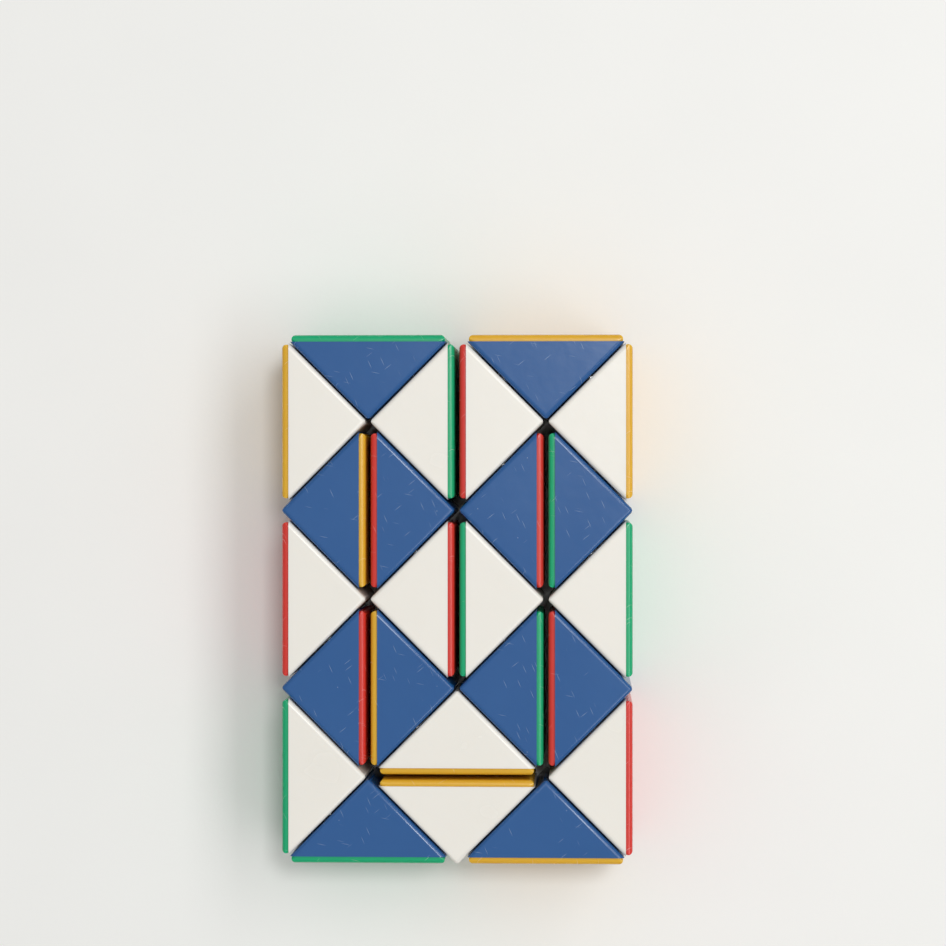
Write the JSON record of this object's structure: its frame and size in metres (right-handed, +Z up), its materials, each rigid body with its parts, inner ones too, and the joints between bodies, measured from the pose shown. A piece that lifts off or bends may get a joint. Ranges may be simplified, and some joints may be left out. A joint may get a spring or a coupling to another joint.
{
  "type": "twisty snake puzzle",
  "caption": "Chain of hollow triangular wedges with coloured caps on their slanted faces, joined by sprung pivots and folded into a flat rectangle.",
  "frame": {"origin": "middle of the underside of the folded rectangle", "axes": "+Z up through the thickness, +Y along the longer side, +X along the shorter side"},
  "size_m": [0.067, 0.101, 0.024],
  "materials": {
    "white_shell": "glossy, fine scratches",
    "blue_shell": "glossy, fine scratches",
    "green_cap": "glossy",
    "yellow_cap": "glossy",
    "red_cap": "glossy",
    "pivot_steel": "zinc-plated"
  },
  "bodies": {
    "wedge_01": {"white_wedge_01": "white_shell", "green_cap_01": "green_cap"},
    "wedge_02": {"blue_wedge_02": "blue_shell", "green_cap_02": "green_cap", "pivot_set_02": "pivot_steel"},
    "wedge_03": {"white_wedge_03": "white_shell", "yellow_cap_03": "yellow_cap"},
    "wedge_04": {"blue_wedge_04": "blue_shell", "yellow_cap_04": "yellow_cap", "pivot_set_04": "pivot_steel"},
    "wedge_05": {"white_wedge_05": "white_shell", "red_cap_05": "red_cap"},
    "wedge_06": {"blue_wedge_06": "blue_shell", "red_cap_06": "red_cap", "pivot_set_06": "pivot_steel"},
    "wedge_07": {"white_wedge_07": "white_shell", "green_cap_07": "green_cap"},
    "wedge_08": {"blue_wedge_08": "blue_shell", "green_cap_08": "green_cap", "pivot_set_08": "pivot_steel"},
    "wedge_09": {"white_wedge_09": "white_shell", "yellow_cap_09": "yellow_cap"},
    "wedge_10": {"blue_wedge_10": "blue_shell", "yellow_cap_10": "yellow_cap", "pivot_set_10": "pivot_steel"},
    "wedge_11": {"white_wedge_11": "white_shell", "red_cap_11": "red_cap"},
    "wedge_12": {"blue_wedge_12": "blue_shell", "red_cap_12": "red_cap", "pivot_set_12": "pivot_steel"},
    "wedge_13": {"white_wedge_13": "white_shell", "green_cap_13": "green_cap"},
    "wedge_14": {"blue_wedge_14": "blue_shell", "green_cap_14": "green_cap", "pivot_set_14": "pivot_steel"},
    "wedge_15": {"white_wedge_15": "white_shell", "yellow_cap_15": "yellow_cap"},
    "wedge_16": {"blue_wedge_16": "blue_shell", "yellow_cap_16": "yellow_cap", "pivot_set_16": "pivot_steel"},
    "wedge_17": {"white_wedge_17": "white_shell", "red_cap_17": "red_cap"},
    "wedge_18": {"blue_wedge_18": "blue_shell", "red_cap_18": "red_cap", "pivot_set_18": "pivot_steel"},
    "wedge_19": {"white_wedge_19": "white_shell", "green_cap_19": "green_cap"},
    "wedge_20": {"blue_wedge_20": "blue_shell", "green_cap_20": "green_cap", "pivot_set_20": "pivot_steel"},
    "wedge_21": {"white_wedge_21": "white_shell", "yellow_cap_21": "yellow_cap"},
    "wedge_22": {"blue_wedge_22": "blue_shell", "yellow_cap_22": "yellow_cap", "pivot_set_22": "pivot_steel"},
    "wedge_23": {"white_wedge_23": "white_shell", "red_cap_23": "red_cap"},
    "wedge_24": {"blue_wedge_24": "blue_shell", "red_cap_24": "red_cap", "pivot_set_24": "pivot_steel"}
  },
  "joints": [
    {"name": "pivot_01", "type": "hinge", "parent": "wedge_02", "child": "wedge_01", "pos_m": [-0.02546, -0.04243, 0.012], "axis": [-0.7071, 0.7071, 0], "range_deg": [0, 0.91]},
    {"name": "pivot_02", "type": "hinge", "parent": "wedge_03", "child": "wedge_02", "pos_m": [-0.00848, -0.04243, 0.012], "axis": [0.7071, 0.7071, 0], "continuous": true},
    {"name": "pivot_03", "type": "hinge", "parent": "wedge_04", "child": "wedge_03", "pos_m": [0.00848, -0.04243, 0.012], "axis": [-0.7071, 0.7071, 0], "range_deg": [-1.81, 0]},
    {"name": "pivot_04", "type": "hinge", "parent": "wedge_05", "child": "wedge_04", "pos_m": [0.02546, -0.04243, 0.012], "axis": [-0.7071, -0.7071, 0], "range_deg": [-1.81, 0]},
    {"name": "pivot_05", "type": "hinge", "parent": "wedge_06", "child": "wedge_05", "pos_m": [0.02546, -0.02546, 0.012], "axis": [0.7071, -0.7071, 0], "range_deg": [-1.81, 0]},
    {"name": "pivot_06", "type": "hinge", "parent": "wedge_06", "child": "wedge_07", "pos_m": [0.02546, -0.00848, 0.012], "axis": [0.7071, 0.7071, 0], "range_deg": [0, 1.81]},
    {"name": "pivot_07", "type": "hinge", "parent": "wedge_07", "child": "wedge_08", "pos_m": [0.02546, 0.00848, 0.012], "axis": [-0.7071, 0.7071, 0], "range_deg": [-1.81, 0]},
    {"name": "pivot_08", "type": "hinge", "parent": "wedge_08", "child": "wedge_09", "pos_m": [0.02546, 0.02546, 0.012], "axis": [0.7071, 0.7071, 0], "range_deg": [-3.7, 0]},
    {"name": "pivot_09", "type": "hinge", "parent": "wedge_09", "child": "wedge_10", "pos_m": [0.02546, 0.04243, 0.012], "axis": [-0.7071, 0.7071, 0], "range_deg": [0, 9]},
    {"name": "pivot_10", "type": "hinge", "parent": "wedge_10", "child": "wedge_11", "pos_m": [0.00848, 0.04243, 0.012], "axis": [-0.7071, -0.7071, 0], "range_deg": [0, 9.01]},
    {"name": "pivot_11", "type": "hinge", "parent": "wedge_11", "child": "wedge_12", "pos_m": [0.00848, 0.02546, 0.012], "axis": [0.7071, -0.7071, 0], "range_deg": [-3.7, 0]},
    {"name": "pivot_12", "type": "hinge", "parent": "wedge_12", "child": "wedge_13", "pos_m": [0.00848, 0.00848, 0.012], "axis": [-0.7071, -0.7071, 0], "range_deg": [-1.81, 0]},
    {"name": "pivot_13", "type": "hinge", "parent": "wedge_13", "child": "wedge_14", "pos_m": [0.00848, -0.00848, 0.012], "axis": [0.7071, -0.7071, 0], "range_deg": [0, 3.7]},
    {"name": "pivot_14", "type": "hinge", "parent": "wedge_14", "child": "wedge_15", "pos_m": [0.00848, -0.02546, 0.012], "axis": [-0.7071, -0.7071, 0], "range_deg": [-9.01, 0]},
    {"name": "pivot_15", "type": "hinge", "parent": "wedge_15", "child": "wedge_16", "pos_m": [-0.00848, -0.02546, 0.012], "axis": [-0.7071, 0.7071, 0], "range_deg": [-9.01, 0]},
    {"name": "pivot_16", "type": "hinge", "parent": "wedge_16", "child": "wedge_17", "pos_m": [-0.00848, -0.00848, 0.012], "axis": [0.7071, 0.7071, 0], "range_deg": [0, 3.7]},
    {"name": "pivot_17", "type": "hinge", "parent": "wedge_17", "child": "wedge_18", "pos_m": [-0.00848, 0.00848, 0.012], "axis": [-0.7071, 0.7071, 0], "range_deg": [0, 1.81]},
    {"name": "pivot_18", "type": "hinge", "parent": "wedge_18", "child": "wedge_19", "pos_m": [-0.00848, 0.02546, 0.012], "axis": [0.7071, 0.7071, 0], "range_deg": [0, 1.81]},
    {"name": "pivot_19", "type": "hinge", "parent": "wedge_19", "child": "wedge_20", "pos_m": [-0.00848, 0.04243, 0.012], "axis": [-0.7071, 0.7071, 0], "range_deg": [0, 1.81]},
    {"name": "pivot_20", "type": "hinge", "parent": "wedge_20", "child": "wedge_21", "pos_m": [-0.02546, 0.04243, 0.012], "axis": [-0.7071, -0.7071, 0], "range_deg": [0, 1.81]},
    {"name": "pivot_21", "type": "hinge", "parent": "wedge_21", "child": "wedge_22", "pos_m": [-0.02546, 0.02546, 0.012], "axis": [0.7071, -0.7071, 0], "range_deg": [0, 1.81]},
    {"name": "pivot_22", "type": "hinge", "parent": "wedge_22", "child": "wedge_23", "pos_m": [-0.02546, 0.00848, 0.012], "axis": [-0.7071, -0.7071, 0], "range_deg": [0, 1.81]},
    {"name": "pivot_23", "type": "hinge", "parent": "wedge_23", "child": "wedge_24", "pos_m": [-0.02546, -0.00848, 0.012], "axis": [0.7071, -0.7071, 0], "range_deg": [0, 1.81]}
  ],
  "couplings": [
    {"joint": "pivot_01", "follows": "pivot_09", "ratio": 0.1},
    {"joint": "pivot_03", "follows": "pivot_09", "ratio": -0.2},
    {"joint": "pivot_04", "follows": "pivot_09", "ratio": -0.2},
    {"joint": "pivot_05", "follows": "pivot_09", "ratio": -0.2},
    {"joint": "pivot_06", "follows": "pivot_09", "ratio": 0.2},
    {"joint": "pivot_07", "follows": "pivot_09", "ratio": -0.2},
    {"joint": "pivot_08", "follows": "pivot_09", "ratio": -0.41},
    {"joint": "pivot_10", "follows": "pivot_09", "ratio": 1},
    {"joint": "pivot_11", "follows": "pivot_09", "ratio": -0.41},
    {"joint": "pivot_12", "follows": "pivot_09", "ratio": -0.2},
    {"joint": "pivot_13", "follows": "pivot_09", "ratio": 0.41},
    {"joint": "pivot_14", "follows": "pivot_09", "ratio": -1},
    {"joint": "pivot_15", "follows": "pivot_09", "ratio": -1},
    {"joint": "pivot_16", "follows": "pivot_09", "ratio": 0.41},
    {"joint": "pivot_17", "follows": "pivot_09", "ratio": 0.2},
    {"joint": "pivot_18", "follows": "pivot_09", "ratio": 0.2},
    {"joint": "pivot_19", "follows": "pivot_09", "ratio": 0.2},
    {"joint": "pivot_20", "follows": "pivot_09", "ratio": 0.2},
    {"joint": "pivot_21", "follows": "pivot_09", "ratio": 0.2},
    {"joint": "pivot_22", "follows": "pivot_09", "ratio": 0.2},
    {"joint": "pivot_23", "follows": "pivot_09", "ratio": 0.2}
  ]
}
